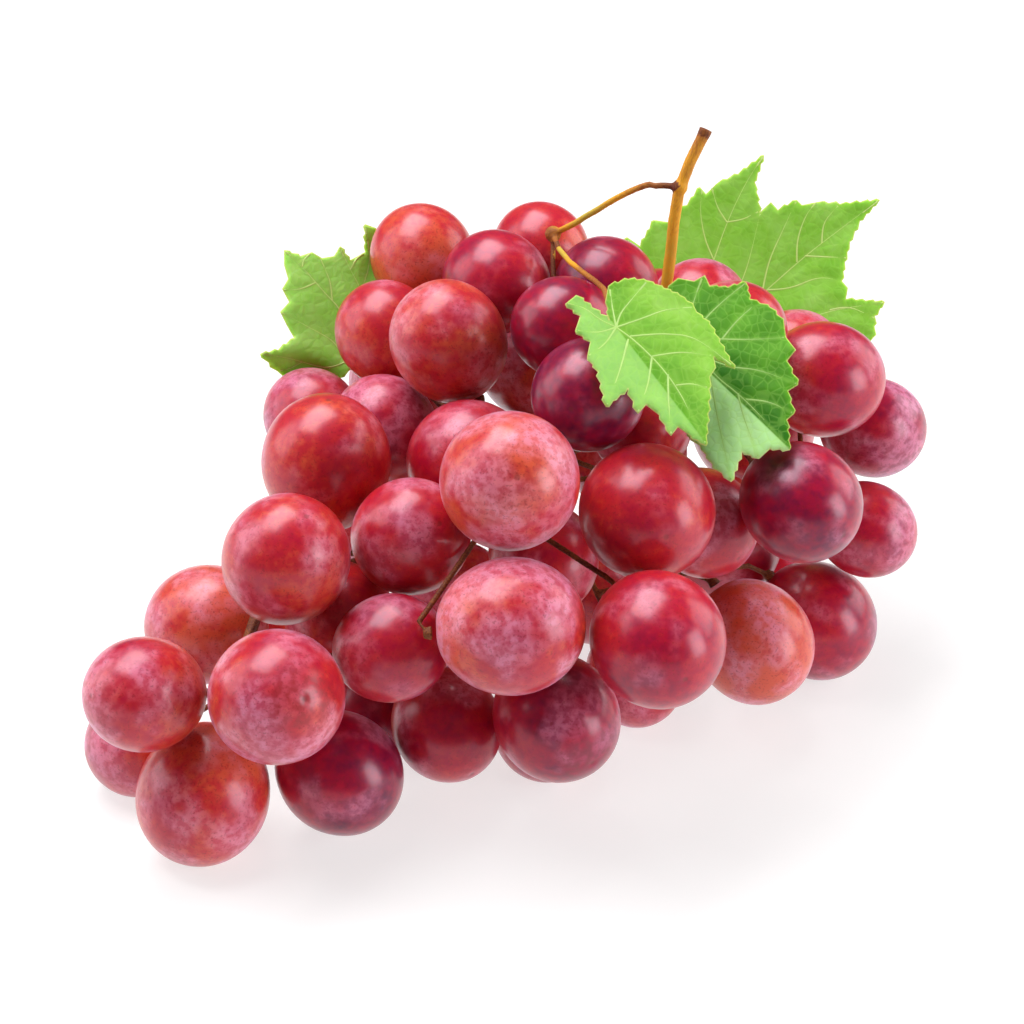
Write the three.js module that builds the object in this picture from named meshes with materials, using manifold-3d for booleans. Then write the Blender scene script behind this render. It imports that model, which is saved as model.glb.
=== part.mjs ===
import * as THREE from "three";
import { mergeVertices } from "three/addons/utils/BufferGeometryUtils.js";
import Module from "manifold-3d";

// A bunch of red table grapes lying on a flat surface, with four vine leaves.
// Millimetres, +X to the viewer's right, +Y away from the viewer, +Z up.
// The origin is on the surface, under the middle of the bunch.

const wasm = await Module();
wasm.setup();

// Finish of each kind of piece.
const BERRY_SKIN = { color: 0xa83446, roughness: 0.34, metalness: 0 };
const STEM_BARK = { color: 0xa5713a, roughness: 0.62, metalness: 0 };
const LEAF_GREEN = { color: 0x7fb83c, roughness: 0.55, metalness: 0 };

// How the bunch is seen: the eye looks down on it from the front, EYE_RANGE from AIM.
// One picture pixel is PIXEL wide at that range, and the picture's middle looks at AIM.
const EYE_TILT = THREE.MathUtils.degToRad(30);
const EYE_RANGE = 450;
const PIXEL = 0.19;
const PICTURE_MIDDLE = 512;
const AIM = new THREE.Vector3(0, 0, 46);

// A berry is a little longer along its stalk than across, and stays GAP clear of the next one.
const BERRY_LENGTH = 1.05;
const BERRY_WIDTH = 0.98;
const BERRY_TAPER = 0.04;
const GAP = 0.35;
const LAYER = 21;
const BERRY_SIDES = 10;
const BERRY_RINGS = 7;

// A berry that rests on the surface has a small flat spot this deep.
const FLAT_SPOT_DEPTH = 0.9;

// The berries that show from the front. "at" is where the middle shows, in picture pixels
// right and down; "across" is the berry's diameter; "layer" is how high it lies, counted in
// layers of berries above those that rest on the surface.
const TIP = [
  { at: [208, 792], across: 25.4, layer: -0.1 },
  { at: [143, 747], across: 21.5, layer: 0 },
  { at: [340, 770], across: 23.5, layer: 0 },
  { at: [146, 696], across: 21.5, layer: 1.1 },
  { at: [278, 696], across: 25, layer: 1.15 },
  { at: [208, 624], across: 24.1, layer: 0.8 },
  { at: [330, 606], across: 21, layer: 0.9 },
  { at: [376, 712], across: 20, layer: 0 },
];
const LOW = [
  { at: [444, 727], across: 21.5, layer: 0.1 },
  { at: [538, 738], across: 20, layer: 0 },
  { at: [556, 717], across: 23.9, layer: 0.55 },
  { at: [634, 676], across: 20, layer: 0 },
  { at: [754, 641], across: 24.3, layer: 0.1 },
  { at: [814, 627], across: 24.6, layer: 0 },
];
const FLANK = [
  { at: [389, 646], across: 20.5, layer: 1.25 },
  { at: [507, 627], across: 25.4, layer: 1.6 },
  { at: [657, 637], across: 25, layer: 1.5 },
  { at: [287, 561], across: 24, layer: 1.75 },
  { at: [412, 535], across: 22.5, layer: 1.9 },
  { at: [506, 483], across: 26, layer: 2.45 },
  { at: [644, 507], across: 26, layer: 2.05 },
  { at: [704, 522], across: 21.5, layer: 1.75 },
  { at: [543, 557], across: 22, layer: 1.2 },
  { at: [772, 566], across: 19, layer: 0.1 },
  { at: [799, 502], across: 23, layer: 2 },
];
const CROWN = [
  { at: [328, 463], across: 25.5, layer: 2.1 },
  { at: [315, 420], across: 20.4, layer: 1.9 },
  { at: [386, 425], across: 21.5, layer: 2.1 },
  { at: [467, 462], across: 25, layer: 2.1 },
  { at: [388, 338], across: 21.5, layer: 2.65 },
  { at: [451, 346], across: 23.5, layer: 2.95 },
  { at: [423, 259], across: 22.5, layer: 3 },
  { at: [501, 282], across: 21.5, layer: 3.15 },
  { at: [541, 250], across: 20, layer: 3.1 },
  { at: [604, 286], across: 20.3, layer: 3.1 },
  { at: [562, 328], across: 20.5, layer: 3.15 },
  { at: [592, 400], across: 22, layer: 2.9 },
  { at: [640, 424], across: 20.5, layer: 2.4 },
];
const SHOULDER = [
  { at: [697, 308], across: 21, layer: 2.8 },
  { at: [738, 332], across: 20, layer: 2.8 },
  { at: [796, 356], across: 20, layer: 2.3 },
  { at: [818, 377], across: 24, layer: 2.4 },
  { at: [872, 427], across: 21.5, layer: 1.7 },
  { at: [866, 529], across: 19.8, layer: 1.15 },
];

// The far side, which the front hides: three rows of larger berries, each row evenly spaced
// between the middles of its first and last berry.
const FAR_ACROSS = 27;
const FAR_ROWS = [
  { count: 4, first: [-44, 11, 13.2], last: [50, 38, 13.2] },
  { count: 4, first: [-31, 34, 35], last: [52, 56, 36] },
  { count: 3, first: [-20, 48, 50], last: [30, 58, 54] },
];

// The stem runs through the heart of the bunch, from its tip to the cut end that stands out on
// top. The inner points are places in the bunch; the outer ones show in the picture, and
// "range" is how far they are from the eye.
const HEART = [
  [-50, -33, 27],
  [-46, -12, 34],
  [-25, 5, 34],
  [0, 17, 44],
  [21, 24, 53],
  [28, 27, 68],
];
const NECK = { at: [670, 260], range: 460 };
const KNUCKLE = { at: [680, 187], range: 456 };
const CUT_END = { at: [704, 134], range: 455 };
const HEART_ROOM = 3.2;
const HEART_RADIUS = 1.2;
const NECK_RADIUS = 1.2;
const CUT_FLARE = { radius: 1.4, length: 2 };
const STEM_SIDES = 8;

// A side branch leaves the stem at the knuckle and arches over to a knob on the crown.
const ARCH = [
  { at: [655, 183], range: 457 },
  { at: [622, 194], range: 460 },
  { at: [585, 218], range: 465 },
  { at: [553, 234], range: 470 },
];
const ARCH_RADIUS = 0.75;
const KNUCKLE_RADIUS = 1.6;
const KNOB_RADIUS = 1.7;

// Every berry and every leaf has a stalk of its own. It starts straight and ends on the wood,
// and a berry's has a wider cap at its end.
const STALK_RADIUS = 0.65;
const STALK_START = 3;
const STALK_ROOM = 0.4;
const STALK_STEP = 4;
const TUBE_STEP = 6;
const STALK_SIDES = 5;
const CAP = { radius: 1.5, neck: 1, length: 1.6 };

// The stalk of the light leaf in front shows from the knob to the leaf.
const LIGHT_LEAF = "leaf_front_light";
const LIGHT_LEAF_STALK = [
  { at: [562, 254], range: 463 },
  { at: [580, 270], range: 456 },
  { at: [596, 282], range: 448 },
  { at: [608, 296], range: 441 },
];

// The leaves, in picture pixels: "base" is where the stalk meets the blade, "rib" the end of
// the middle rib, and "edge" goes once round the blade. "plane" is three places that the blade
// lies on. It rises to the eye by "fold" for each millimetre across from the rib, and "beyond"
// says on which side of the berries it lies: 1 behind them, -1 in front.
const LEAVES = [
  {
    name: LIGHT_LEAF,
    base: [616, 328],
    rib: [706, 446],
    plane: [
      { at: [616, 328], range: 430 },
      { at: [606, 407], range: 418 },
      { at: [735, 369], range: 430 },
    ],
    fold: 0.25,
    beyond: -1,
    edge: [
      [609, 320], [606, 298], [608, 286], [628, 279], [646, 280], [664, 288], [680, 295], [694, 306],
      [697, 312], [710, 324], [735, 369], [716, 370], [710, 376], [708, 414], [706, 446], [690, 436],
      [678, 427], [671, 436], [659, 415], [646, 405], [638, 414], [628, 389], [606, 407], [598, 372],
      [587, 357], [590, 342], [575, 331], [580, 316], [565, 304], [576, 295],
    ],
  },
  {
    name: "leaf_front_dark",
    base: [692, 338],
    rib: [790, 450],
    plane: [
      { at: [692, 338], range: 443 },
      { at: [790, 450], range: 428 },
      { at: [746, 282], range: 449 },
    ],
    fold: 0.12,
    beyond: -1,
    edge: [
      [680, 330], [664, 302], [668, 286], [678, 278], [694, 281], [705, 275], [710, 286], [728, 287],
      [746, 282], [750, 299], [770, 307], [784, 322], [786, 337], [796, 350], [787, 361], [798, 385],
      [788, 391], [794, 414], [787, 420], [790, 450], [770, 449], [759, 459], [742, 452], [731, 482],
      [712, 464], [700, 446], [690, 440], [684, 412], [668, 400], [664, 372], [676, 352],
    ],
  },
  {
    name: "leaf_back_left",
    base: [346, 362],
    rib: [284, 250],
    plane: [
      { at: [346, 362], range: 487 },
      { at: [284, 250], range: 489 },
      { at: [365, 240], range: 496 },
    ],
    fold: 0.1,
    beyond: 1,
    edge: [
      [348, 372], [334, 384], [318, 382], [306, 390], [286, 379], [277, 371], [260, 354], [278, 350],
      [294, 338], [287, 326], [280, 312], [289, 302], [282, 289], [288, 279], [284, 265], [284, 250],
      [300, 256], [312, 252], [322, 258], [334, 256], [340, 246], [350, 260], [356, 257], [365, 252],
      [365, 224], [376, 228], [382, 254], [384, 280], [372, 300], [358, 320], [350, 340], [350, 354],
    ],
  },
  {
    name: "leaf_back_right",
    base: [666, 374],
    rib: [880, 200],
    plane: [
      { at: [666, 374], range: 520 },
      { at: [880, 200], range: 516 },
      { at: [764, 155], range: 520 },
    ],
    fold: 0.1,
    beyond: 1,
    edge: [
      [652, 384], [620, 392], [604, 372], [606, 346], [592, 326], [606, 300], [608, 268], [627, 237],
      [640, 246], [654, 220], [668, 222], [687, 205], [700, 187], [706, 194], [716, 184], [738, 174],
      [764, 155], [755, 182], [760, 212], [771, 202], [778, 210], [797, 200], [802, 205], [817, 202],
      [840, 204], [880, 200], [860, 221], [850, 242], [845, 262], [842, 281], [848, 288], [846, 299],
      [885, 302], [875, 316], [874, 337], [852, 352], [842, 376], [820, 392], [804, 424], [772, 426],
      [748, 444], [722, 430], [696, 440], [680, 414], [670, 388],
    ],
  },
];

// A blade is laid out in rings between its base and its edge, at these shares of the way.
const BLADE_THICKNESS = 0.8;
const BLADE_RINGS = [0.3, 0.55, 0.8, 1];
const BLADE_ROOM = 1.3;
const BLADE_GAP = 0.5;

const lookAlong = new THREE.Vector3(0, Math.cos(EYE_TILT), -Math.sin(EYE_TILT));
const lookUp = new THREE.Vector3(0, Math.sin(EYE_TILT), Math.cos(EYE_TILT));
const eye = AIM.clone().addScaledVector(lookAlong, -EYE_RANGE);

// The direction from the eye to a picture pixel.
function sight([right, down]) {
  const perPixel = PIXEL / EYE_RANGE;
  return new THREE.Vector3((right - PICTURE_MIDDLE) * perPixel, 0, 0)
    .addScaledVector(lookUp, (PICTURE_MIDDLE - down) * perPixel)
    .add(lookAlong)
    .normalize();
}

// The point at a given height, or at a given range, that shows at a picture pixel.
function seenAtHeight(pixel, height) {
  const ray = sight(pixel);
  return eye.clone().addScaledVector(ray, (height - eye.z) / ray.z);
}

function seenAt({ at, range }) {
  return eye.clone().addScaledVector(sight(at), range);
}

// Points spaced evenly along a smooth curve through the given ones.
function smoothLine(points, spacing = STALK_STEP) {
  const curve = new THREE.CatmullRomCurve3(points, false, "centripetal");
  return curve.getSpacedPoints(Math.max(2, Math.round(curve.getLength() / spacing)));
}

function nearest(points, place) {
  return points.reduce((best, point) =>
    point.distanceToSquared(place) < best.distanceToSquared(place) ? point : best,
  );
}

const heartLine = smoothLine([...HEART.map((place) => new THREE.Vector3(...place)), seenAt(NECK)]);

// The berries that show, each with its line of sight, and the hidden ones of the far side.
function seenBerries(group, rows) {
  return rows.map(({ at, across, layer }, i) => {
    const home = seenAtHeight(at, across / 2 - FLAT_SPOT_DEPTH + layer * LAYER);
    return { name: `berry_${group}_${i + 1}`, home, middle: home.clone(), radius: across / 2, ray: sight(at) };
  });
}

function farBerries() {
  const made = [];
  for (const { count, first, last } of FAR_ROWS) {
    for (let i = 0; i < count; i++) {
      const home = new THREE.Vector3(...first).lerp(new THREE.Vector3(...last), i / (count - 1));
      made.push({ name: `berry_far_${made.length + 1}`, home, middle: home.clone(), radius: FAR_ACROSS / 2 });
    }
  }
  return made;
}

// How far a berry reaches from its middle in a direction. Its long axis is its stalk's.
function reach({ radius, axis }, direction) {
  const along = direction.dot(axis) / direction.length();
  const across = Math.sqrt(Math.max(0, 1 - along * along));
  return radius * Math.hypot(BERRY_LENGTH * along, BERRY_WIDTH * across);
}

// How far a line of points keeps from the berries, less its own radius.
function room(points, radius, berries) {
  let least = Infinity;
  for (let i = 0; i < points.length - 1; i++) {
    const stretch = new THREE.Line3(points[i], points[i + 1]);
    for (const berry of berries) {
      const away = stretch.closestPointToPoint(berry.middle, true, new THREE.Vector3()).sub(berry.middle);
      least = Math.min(least, away.length() - reach(berry, away) - radius);
    }
  }
  return least;
}

function towardsHeart(berry) {
  return nearest(heartLine, berry.middle).clone().sub(berry.middle).normalize();
}

// The direction of a berry's stalk: towards the heart of the bunch, turned from it only as far
// as it takes to come out between the neighbours.
function openAxis(berry, berries) {
  const TRIES = 400;
  const GOLDEN_TURN = Math.PI * (3 - Math.sqrt(5));
  const heart = towardsHeart(berry);
  const neighbours = berries.filter((other) => other !== berry);
  let best = { cost: Infinity };
  for (let i = 0; i <= TRIES; i++) {
    const height = 1 - (2 * i - 1) / TRIES;
    const flat = Math.sqrt(Math.max(0, 1 - height * height));
    const turn = GOLDEN_TURN * i;
    const axis = i ? new THREE.Vector3(flat * Math.cos(turn), flat * Math.sin(turn), height) : heart;
    const start = berry.middle.clone().addScaledVector(axis, berry.radius * BERRY_LENGTH + GAP);
    const end = start.clone().addScaledVector(axis, STALK_START);
    const press = 2 * STALK_ROOM - room([start, end], STALK_RADIUS, neighbours);
    const cost = axis.angleTo(heart) + Math.max(0, press);
    if (cost < best.cost) best = { axis, cost };
  }
  return best.axis;
}

// Moves the berries until none presses into another, the stem or the surface. One that shows
// moves mostly along its line of sight, so that it still shows in its place.
function settle(berries) {
  const ROUNDS = 900;
  const LAST_ROUNDS = 500;
  const ALONG_SIGHT = 1.2;
  const ACROSS_SIGHT = 0.5;
  const BACK_TO_SIGHT = 0.2;
  const BACK_HOME = 0.02;
  const down = new THREE.Vector3(0, 0, -1);

  const shift = ({ middle, ray }, push) => {
    if (!ray) return middle.add(push);
    const along = push.dot(ray) * (ALONG_SIGHT - ACROSS_SIGHT);
    return middle.addScaledVector(push, ACROSS_SIGHT).addScaledVector(ray, along);
  };
  const pullHome = ({ middle, home, ray }) => {
    if (!ray) return middle.lerp(home, BACK_HOME);
    const range = middle.clone().sub(eye).dot(ray);
    middle.lerp(eye.clone().addScaledVector(ray, range), BACK_TO_SIGHT);
    return middle.addScaledVector(ray, ((home.z - middle.z) * BACK_HOME) / ray.z);
  };

  for (let round = 0; round < ROUNDS + LAST_ROUNDS; round++) {
    for (const berry of berries) {
      if (round < ROUNDS) berry.axis = towardsHeart(berry);
      if (round === ROUNDS) berry.axis = openAxis(berry, berries);
    }
    berries.forEach((a, i) =>
      berries.slice(i + 1).forEach((b) => {
        const away = b.middle.clone().sub(a.middle);
        const press = reach(a, away) + reach(b, away) + GAP - away.length();
        if (press <= 0) return;
        shift(b, away.setLength(press / 2));
        shift(a, away.negate());
      }),
    );
    for (const berry of berries) {
      const heart = nearest(heartLine, berry.middle).clone().sub(berry.middle);
      const press = reach(berry, heart) + HEART_ROOM - heart.length();
      if (press > 0) shift(berry, heart.setLength(-press));
      if (round < ROUNDS) pullHome(berry);
      berry.middle.z = Math.max(berry.middle.z, reach(berry, down) - FLAT_SPOT_DEPTH);
    }
  }
}

// A closed geometry as a solid that can be joined and cut, and a solid as a geometry again.
function solidOf(geometry) {
  const bare = geometry.clone();
  bare.deleteAttribute("normal");
  bare.deleteAttribute("uv");
  const merged = mergeVertices(bare);
  const vertProperties = new Float32Array(merged.attributes.position.array);
  const triVerts = new Uint32Array(merged.index.array);
  return new wasm.Manifold(new wasm.Mesh({ numProp: 3, vertProperties, triVerts }));
}

function geometryOf(solid) {
  const { vertProperties, triVerts } = solid.getMesh();
  const geometry = new THREE.BufferGeometry();
  geometry.setAttribute("position", new THREE.BufferAttribute(vertProperties, 3));
  geometry.setIndex(new THREE.BufferAttribute(triVerts, 1));
  geometry.computeVertexNormals();
  return geometry;
}

// A turned geometry's own axis is +Y. It is set on a place, along a direction.
function setAlong(geometry, place, direction) {
  const turn = new THREE.Quaternion().setFromUnitVectors(new THREE.Vector3(0, 1, 0), direction);
  return geometry.applyQuaternion(turn).translate(...place);
}

// A berry: a turned oval, narrower at its stalk, cut flat where it rests on the surface.
function berryGeometry({ middle, radius, axis }) {
  const profile = [];
  for (let ring = 0; ring <= BERRY_RINGS; ring++) {
    const turn = (Math.PI * ring) / BERRY_RINGS;
    const across = BERRY_WIDTH * Math.sin(turn) * (1 + (BERRY_TAPER / 2) * (Math.cos(turn) - 1));
    const atEnd = ring % BERRY_RINGS === 0;
    profile.push(new THREE.Vector2(atEnd ? 0 : radius * across, -radius * BERRY_LENGTH * Math.cos(turn)));
  }
  const oval = setAlong(new THREE.LatheGeometry(profile, BERRY_SIDES), middle, axis);
  const underSurface = new THREE.BoxGeometry(4 * radius, 4 * radius, 2 * radius);
  underSurface.translate(middle.x, middle.y, -radius);
  return geometryOf(solidOf(oval).subtract(solidOf(underSurface)));
}

// The smooth path of a tube through a line of points, and the tube's steps along it.
function tubePath(points) {
  const extrudePath = new THREE.CatmullRomCurve3(points);
  return { extrudePath, steps: Math.max(2, Math.round(extrudePath.getLength() / TUBE_STEP)) };
}

function tube(points, radius, sides) {
  const section = new THREE.Shape(new THREE.EllipseCurve(0, 0, radius, radius).getPoints(sides).slice(1));
  return new THREE.ExtrudeGeometry(section, tubePath(points));
}

// The places inside a tube where another can end.
function jointsAlong(points) {
  const { extrudePath, steps } = tubePath(points);
  return extrudePath.getSpacedPoints(steps).slice(1, -1);
}

function ball(middle, radius) {
  return new THREE.IcosahedronGeometry(radius, 1).translate(...middle);
}

// Bends a line clear of the berries, with its two ends held.
function bendClear(line, berries) {
  const ROUNDS = 120;
  const SMOOTHING = 0.25;
  for (let round = 0; round < ROUNDS; round++) {
    for (let i = 1; i < line.length - 1; i++) {
      line[i].lerp(line[i - 1].clone().lerp(line[i + 1], 0.5), SMOOTHING);
      for (const berry of berries) {
        const away = line[i].clone().sub(berry.middle);
        const press = reach(berry, away) + STALK_RADIUS + STALK_ROOM - away.length();
        if (press > 0) line[i].add(away.setLength(press));
      }
    }
  }
  return line;
}

// A stalk's line: from its start on in a direction, then to the place on the wood where the
// way there is short and clear.
function stalkLine(start, direction, joints, berries) {
  const BLOCKED = 12;
  const turn = start.clone().addScaledVector(direction, STALK_START);
  let best = { cost: Infinity };
  for (const joint of joints) {
    const way = turn.distanceTo(joint);
    if (way > best.cost) continue;
    const press = STALK_ROOM - room([turn, joint], STALK_RADIUS, berries);
    const cost = way + BLOCKED * Math.max(0, press);
    if (cost < best.cost) best = { joint, cost };
  }
  return [start, ...bendClear(smoothLine([turn, best.joint]), berries)];
}

// A leaf's blade: its middle and the rings round it. Each place lies on its own line of sight,
// where the folded plane is, or as much further in front or beyond as keeps it off the berries.
function bladeLayout({ base, rib, plane, fold, beyond, edge }, berries) {
  const SLIDE = 0.1;
  const flat = new THREE.Plane().setFromCoplanarPoints(...plane.map(seenAt));
  const basePixel = new THREE.Vector2(...base);
  const ribWay = new THREE.Vector2(...rib).sub(basePixel).normalize();
  const presses = (point) =>
    berries.some((berry) => {
      const away = point.clone().sub(berry.middle);
      return away.length() < reach(berry, away) + BLADE_THICKNESS / 2 + BLADE_ROOM;
    });
  const place = (pixel) => {
    const ray = sight(pixel.toArray());
    const point = new THREE.Ray(eye, ray).intersectPlane(flat, new THREE.Vector3());
    const fromRib = Math.abs(ribWay.cross(pixel.clone().sub(basePixel))) * PIXEL;
    point.addScaledVector(ray, -fold * fromRib);
    while (presses(point)) point.addScaledVector(ray, SLIDE * beyond);
    return point;
  };
  const rings = BLADE_RINGS.map((share) =>
    edge.map((corner) => place(basePixel.clone().lerp(new THREE.Vector2(...corner), share))),
  );
  const facing = Math.sign(flat.normal.dot(sight(base)));
  return { middle: place(basePixel), rings, inward: flat.normal.multiplyScalar(-beyond * facing) };
}

// The blade as a solid. Both faces have the same triangles, half the thickness off the layout.
function bladeGeometry({ middle, rings }) {
  const count = rings[0].length;
  const layout = [middle, ...rings.flat()];
  const at = (ring, corner) => 1 + ring * count + (corner % count);
  const face = [];
  const rim = [];
  for (let corner = 0; corner < count; corner++) {
    face.push(0, at(0, corner), at(0, corner + 1));
    for (let ring = 1; ring < rings.length; ring++) {
      const [inHere, inNext] = [at(ring - 1, corner), at(ring - 1, corner + 1)];
      const [outHere, outNext] = [at(ring, corner), at(ring, corner + 1)];
      face.push(inHere, outHere, outNext, inHere, outNext, inNext);
    }
    const [here, next] = [at(rings.length - 1, corner), at(rings.length - 1, corner + 1)];
    const [underHere, underNext] = [here + layout.length, next + layout.length];
    rim.push(here, underHere, underNext, here, underNext, next);
  }
  const sheet = new THREE.BufferGeometry().setFromPoints(layout).setIndex(face);
  sheet.computeVertexNormals();
  const offLayout = (distance) =>
    layout.map((point, i) => {
      const normal = new THREE.Vector3().fromBufferAttribute(sheet.attributes.normal, i);
      return point.clone().addScaledVector(normal, distance);
    });
  const corners = [...offLayout(BLADE_THICKNESS / 2), ...offLayout(-BLADE_THICKNESS / 2)];
  const underFace = face.map((corner) => corner + layout.length).reverse();
  return new THREE.BufferGeometry().setFromPoints(corners).setIndex([...face, ...underFace, ...rim]);
}

// The berries' stalks, those nearest to the stem first, so that the outer ones branch from them.
function berryStalks(berries, joints) {
  const toStem = ({ middle }) => nearest(heartLine, middle).distanceTo(middle);
  const wood = [];
  for (const berry of [...berries].sort((a, b) => toStem(a) - toStem(b))) {
    const { middle, axis } = berry;
    const end = middle.clone().addScaledVector(axis, reach(berry, axis) + GAP);
    const inCap = end.clone().addScaledVector(axis, CAP.length / 2);
    const cap = new THREE.CylinderGeometry(CAP.neck, CAP.radius, CAP.length, STALK_SIDES);
    const line = stalkLine(inCap, axis, joints, berries);
    wood.push(setAlong(cap, inCap, axis), tube(line, STALK_RADIUS, STALK_SIDES));
    joints.push(...jointsAlong(line));
  }
  return wood;
}

// A leaf's stalk comes up to the blade's base from the bunch's side.
function leafStalk({ name, middle, inward }, knob, joints, berries) {
  const end = middle.clone().addScaledVector(inward, BLADE_THICKNESS / 2 + BLADE_GAP);
  const before = end.clone().addScaledVector(inward, STALK_START);
  const shown = [knob, ...LIGHT_LEAF_STALK.map(seenAt), before, end];
  return tube(name === LIGHT_LEAF ? shown : stalkLine(end, inward, joints, berries), STALK_RADIUS, STALK_SIDES);
}

// All the wood as one body: the stem, its side branch and every stalk.
function stemGeometry(berries, leaves) {
  const [neck, knuckle, cutEnd] = [NECK, KNUCKLE, CUT_END].map(seenAt);
  const knob = seenAt(ARCH[ARCH.length - 1]);
  const upward = cutEnd.clone().sub(knuckle).normalize();
  const flare = new THREE.CylinderGeometry(CUT_FLARE.radius, NECK_RADIUS, CUT_FLARE.length, STEM_SIDES);
  const joints = [...jointsAlong(heartLine), knob];
  const wood = [
    tube(heartLine, HEART_RADIUS, STEM_SIDES),
    tube([heartLine[heartLine.length - 2], neck, knuckle, cutEnd], NECK_RADIUS, STEM_SIDES),
    setAlong(flare, cutEnd, upward),
    tube([knuckle, ...ARCH.map(seenAt)], ARCH_RADIUS, STALK_SIDES),
    ball(knuckle, KNUCKLE_RADIUS),
    ball(knob, KNOB_RADIUS),
    ...berryStalks(berries, joints),
    ...leaves.map((leaf) => leafStalk(leaf, knob, joints, berries)),
  ];
  return geometryOf(wasm.Manifold.union(wood.map(solidOf)));
}

function piece(name, geometry, finish) {
  const mesh = new THREE.Mesh(geometry, new THREE.MeshStandardMaterial(finish));
  mesh.name = name;
  return mesh;
}

const berries = [
  ...seenBerries("tip", TIP),
  ...seenBerries("low", LOW),
  ...seenBerries("flank", FLANK),
  ...seenBerries("crown", CROWN),
  ...seenBerries("shoulder", SHOULDER),
  ...farBerries(),
];
settle(berries);
const leaves = LEAVES.map((leaf) => ({ name: leaf.name, ...bladeLayout(leaf, berries) }));

const bunch = new THREE.Group();
bunch.add(piece("stem", stemGeometry(berries, leaves), STEM_BARK));
for (const berry of berries) bunch.add(piece(berry.name, berryGeometry(berry), BERRY_SKIN));
for (const leaf of leaves) bunch.add(piece(leaf.name, bladeGeometry(leaf), LEAF_GREEN));

// The origin goes under the middle of the whole bunch, on the surface.
const box = new THREE.Box3().setFromObject(bunch);
const centre = box.getCenter(new THREE.Vector3());
bunch.position.set(-centre.x, -centre.y, -box.min.z);

export default bunch;
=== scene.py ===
import math

import bmesh
import bpy
import numpy as np
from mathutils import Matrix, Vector, geometry, kdtree
from mathutils.bvhtree import BVHTree


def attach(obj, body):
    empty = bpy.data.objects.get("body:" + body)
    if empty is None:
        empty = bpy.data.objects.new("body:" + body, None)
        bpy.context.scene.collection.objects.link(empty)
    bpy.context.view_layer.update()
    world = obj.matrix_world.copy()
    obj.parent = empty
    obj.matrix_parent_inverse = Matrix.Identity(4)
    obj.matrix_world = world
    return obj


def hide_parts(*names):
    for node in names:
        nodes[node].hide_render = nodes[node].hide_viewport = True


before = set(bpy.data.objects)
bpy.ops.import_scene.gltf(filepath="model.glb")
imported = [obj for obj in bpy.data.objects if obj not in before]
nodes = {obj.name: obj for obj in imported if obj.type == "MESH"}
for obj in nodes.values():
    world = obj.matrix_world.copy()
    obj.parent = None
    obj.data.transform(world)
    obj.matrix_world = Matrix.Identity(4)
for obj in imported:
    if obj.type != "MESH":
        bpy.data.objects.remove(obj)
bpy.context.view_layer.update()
collection = bpy.context.scene.collection
MM = 0.001


# The place it is seen in: a white table top that glows a little, a soft box overhead, a window
# low on the right and wide soft boxes at both sides. It is looked at from 30 degrees above the
# surface, 450 mm away.
EYE = Vector((-2.175, -404.632, 271.0)) * MM
EYE_TILT = math.radians(30)
EYE_RANGE = 450 * MM
PIXEL_AT_RANGE = 0.19 * MM
FOCAL_PIXELS = EYE_RANGE / PIXEL_AT_RANGE
PICTURE_SIDE = 1024
FILM_WIDTH = 36
TABLE_SIZE = 6
TABLE_DROP = 0.02 * MM
TABLE_GREY = "#9E9E9E"
TABLE_GLOW = 0.68
WHITE = "#FFFFFF"
SKY_STRENGTH = 0.1
LAMPS = {
    "top_box": {"at": (-0.25, 0.2, 0.88), "size": (0.85, 0.55), "watts": 12.0},
    "right_window": {"at": (0.9, -0.42, 0.3), "size": (0.45, 0.6), "watts": 6.0},
    "right_box": {"at": (1.0, 0.35, 0.5), "size": (0.8, 0.8), "watts": 6.0},
    "left_box": {"at": (-1.0, 0.1, 0.5), "size": (0.8, 0.8), "watts": 5.5},
}
LAMPS_AIM = Vector((0, 0, 0.05))


def linear(code):
    """An sRGB hex colour as linear red, green, blue and a full alpha."""
    shares = [int(code[i : i + 2], 16) / 255 for i in (1, 3, 5)]
    shares = [c / 12.92 if c <= 0.04045 else ((c + 0.055) / 1.055) ** 2.4 for c in shares]
    return (*shares, 1.0)


def add(tree, kind, links=None, out=0, **settings):
    """A new node with its settings, and its inputs linked or set. Gives one of its outputs."""
    made = tree.nodes.new(kind)
    for name, value in settings.items():
        setattr(made, name, value)
    for key, value in (links or {}).items():
        if isinstance(value, bpy.types.NodeSocket):
            tree.links.new(value, made.inputs[key])
        else:
            made.inputs[key].default_value = value
    return made if out is None else made.outputs[out]


def new_material(name):
    made = bpy.data.materials.new(name)
    made.use_nodes = True
    return made, made.node_tree, made.node_tree.nodes["Principled BSDF"]


def new_object(name, mesh):
    made = bpy.data.objects.new(name, mesh)
    collection.objects.link(made)
    return made


camera_data = bpy.data.cameras.new("camera")
camera_data.sensor_width = FILM_WIDTH
camera_data.lens = FILM_WIDTH * FOCAL_PIXELS / PICTURE_SIDE
camera = new_object("camera", camera_data)
camera.location = EYE
camera.rotation_euler = (math.pi / 2 - EYE_TILT, 0, 0)
bpy.context.scene.camera = camera

table_mesh = bpy.data.meshes.new("table")
half = TABLE_SIZE / 2
corners = [(-half, -half, -TABLE_DROP), (half, -half, -TABLE_DROP)]
corners += [(half, half, -TABLE_DROP), (-half, half, -TABLE_DROP)]
table_mesh.from_pydata(corners, [], [(0, 1, 2, 3)])
table = new_object("table", table_mesh)
paint, tree, shader = new_material("white_table_top")
shader.inputs["Base Color"].default_value = linear(TABLE_GREY)
shader.inputs["Roughness"].default_value = 0.6
shader.inputs["Emission Color"].default_value = linear(WHITE)
shader.inputs["Emission Strength"].default_value = TABLE_GLOW
table_mesh.materials.append(paint)

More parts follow.
